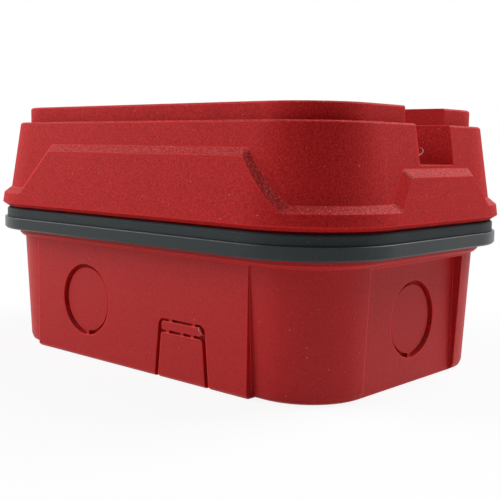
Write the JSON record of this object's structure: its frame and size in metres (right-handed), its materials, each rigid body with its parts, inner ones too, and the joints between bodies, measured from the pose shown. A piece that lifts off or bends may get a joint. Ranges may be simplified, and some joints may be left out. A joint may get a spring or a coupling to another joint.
{
  "type": "fence energizer",
  "caption": "Compact wall-mounted fence energizer: red back box with conduit knock-outs, grey sealing rings and a stepped front housing with a lead channel.",
  "frame": {"origin": "centre of the back face that lies against the wall", "axes": "+Z from the wall towards the front face, X along the long side, +X at the lead channel's end"},
  "size_m": [0.1574, 0.1064, 0.082],
  "materials": {
    "red_shell": "fine spark-eroded texture",
    "grey_plastic": "satin",
    "grey_seal": "matt",
    "brass": "turned",
    "steel": "zinc plated",
    "seal_rubber": "matt",
    "black_plastic": "moulded",
    "board": "solder resist",
    "ferrite": "sintered ferrite",
    "tape": "polyester tape over copper",
    "capacitor_box": "moulded",
    "aluminium": "extruded",
    "disc_blue": "dipped epoxy",
    "terminal_green": "moulded",
    "fence_red": "moulded",
    "earth_green": "moulded",
    "lens": "moulded",
    "lamp": "moulded"
  },
  "bodies": {
    "energizer": {"back_box": "red_shell", "box_inserts": "brass", "frame_ring": "grey_plastic", "seal_ring": "grey_seal", "front_housing": "red_shell", "cover_screws": "steel", "cover_screw_seals": "seal_rubber", "chassis_plate": "grey_plastic", "chassis_screws": "steel", "circuit_board": "board", "board_screws": "steel", "transformer_core": "ferrite", "transformer_bobbin": "black_plastic", "transformer_winding": "tape", "storage_capacitor": "capacitor_box", "filter_capacitor": "black_plastic", "suppressor_disc": "disc_blue", "heat_sink": "aluminium", "thyristor": "black_plastic", "output_resistor": "disc_blue", "supply_terminal_block": "terminal_green", "supply_terminal_screws": "steel", "switch_body": "black_plastic", "indicator_lens": "lens", "indicator_lamp": "lamp", "fence_stud": "steel", "earth_stud": "steel", "stud_washers": "steel", "stud_nuts": "steel"},
    "rocker": {"switch_rocker": "black_plastic"},
    "fence_clamp": {"fence_clamp_washer": "steel"},
    "fence_knob": {"fence_knob": "fence_red"},
    "earth_clamp": {"earth_clamp_washer": "steel"},
    "earth_knob": {"earth_knob": "earth_green"}
  },
  "joints": [
    {"name": "rocker_tilt", "type": "hinge", "parent": "energizer", "child": "rocker", "pos_m": [-0.044, 0, 0.0752], "axis": [0, 1, 0], "range_deg": [0, 18]},
    {"name": "fence_clamp_lift", "type": "slide", "parent": "energizer", "child": "fence_clamp", "axis": [0, 0, 1], "range_m": [0, 0.003]},
    {"name": "fence_knob_turn", "type": "hinge", "parent": "fence_clamp", "child": "fence_knob", "pos_m": [0.0375, -0.0105, 0.0699], "axis": [0, 0, 1], "range_deg": [0, 1350]},
    {"name": "earth_clamp_lift", "type": "slide", "parent": "energizer", "child": "earth_clamp", "axis": [0, 0, 1], "range_m": [0, 0.003]},
    {"name": "earth_knob_turn", "type": "hinge", "parent": "earth_clamp", "child": "earth_knob", "pos_m": [0.0375, 0.0155, 0.0699], "axis": [0, 0, 1], "range_deg": [0, 1350]}
  ],
  "couplings": [
    {"joint": "fence_knob_turn", "follows": "fence_clamp_lift", "rad_per_m": 7854},
    {"joint": "earth_knob_turn", "follows": "earth_clamp_lift", "rad_per_m": 7854}
  ]
}
